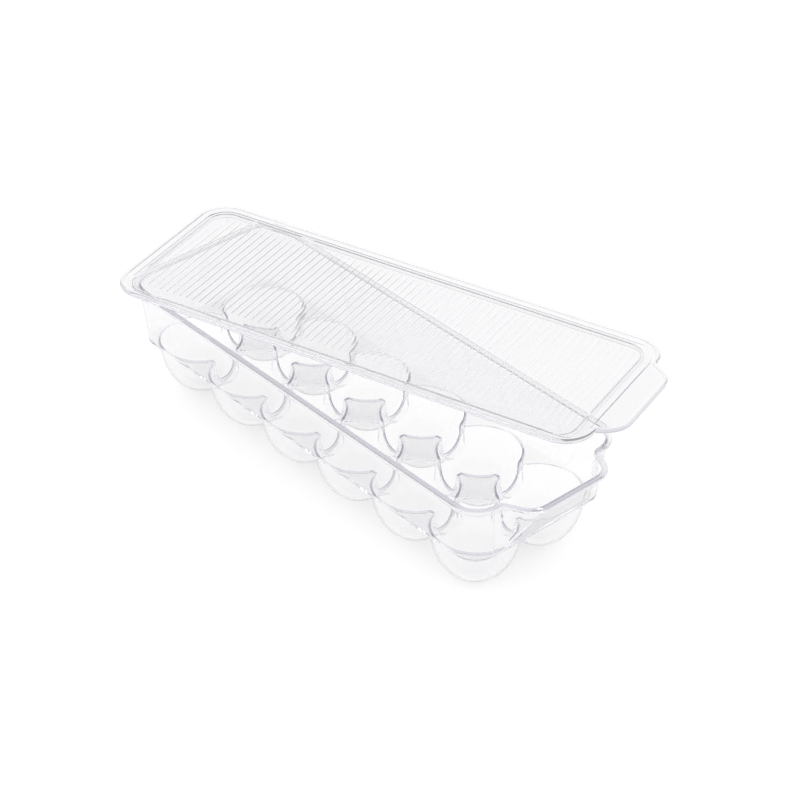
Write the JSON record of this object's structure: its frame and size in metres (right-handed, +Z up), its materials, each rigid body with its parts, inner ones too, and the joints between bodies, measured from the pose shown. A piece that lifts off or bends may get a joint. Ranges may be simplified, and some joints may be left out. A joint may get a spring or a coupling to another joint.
{
  "type": "egg keeper",
  "caption": "Clear refrigerator egg keeper: a walled tray of round egg cups in two rows under a loose ribbed lid, both with a pull lip at one end.",
  "frame": {"origin": "middle of the grid of twelve cups, on the surface that their feet stand on", "axes": "+X runs along the tray towards its pull lip, +Y towards the back row of cups, +Z up"},
  "size_m": [0.366, 0.2041, 0.0804],
  "materials": {
    "clear_plastic": "clear gloss",
    "clear_plastic_edge": "clear gloss"
  },
  "bodies": {
    "tray": {"tray_rim": "clear_plastic_edge", "tray_wall": "clear_plastic", "floor_front": "clear_plastic", "floor_back": "clear_plastic", "floor_islands": "clear_plastic", "egg_cup_front_1": "clear_plastic", "egg_cup_front_2": "clear_plastic", "egg_cup_front_3": "clear_plastic", "egg_cup_front_4": "clear_plastic", "egg_cup_front_5": "clear_plastic", "egg_cup_front_6": "clear_plastic", "egg_cup_back_1": "clear_plastic", "egg_cup_back_2": "clear_plastic", "egg_cup_back_3": "clear_plastic", "egg_cup_back_4": "clear_plastic", "egg_cup_back_5": "clear_plastic", "egg_cup_back_6": "clear_plastic"},
    "lid": {"lid_edge_bead": "clear_plastic_edge", "lid_flange": "clear_plastic", "lid_panel": "clear_plastic", "lid_ribs": "clear_plastic_edge", "lid_locating_ridge": "clear_plastic"}
  },
  "joints": [
    {"name": "lid_lift", "type": "slide", "parent": "tray", "child": "lid", "axis": [0, 0, 1], "range_m": [0, 0.09]}
  ]
}
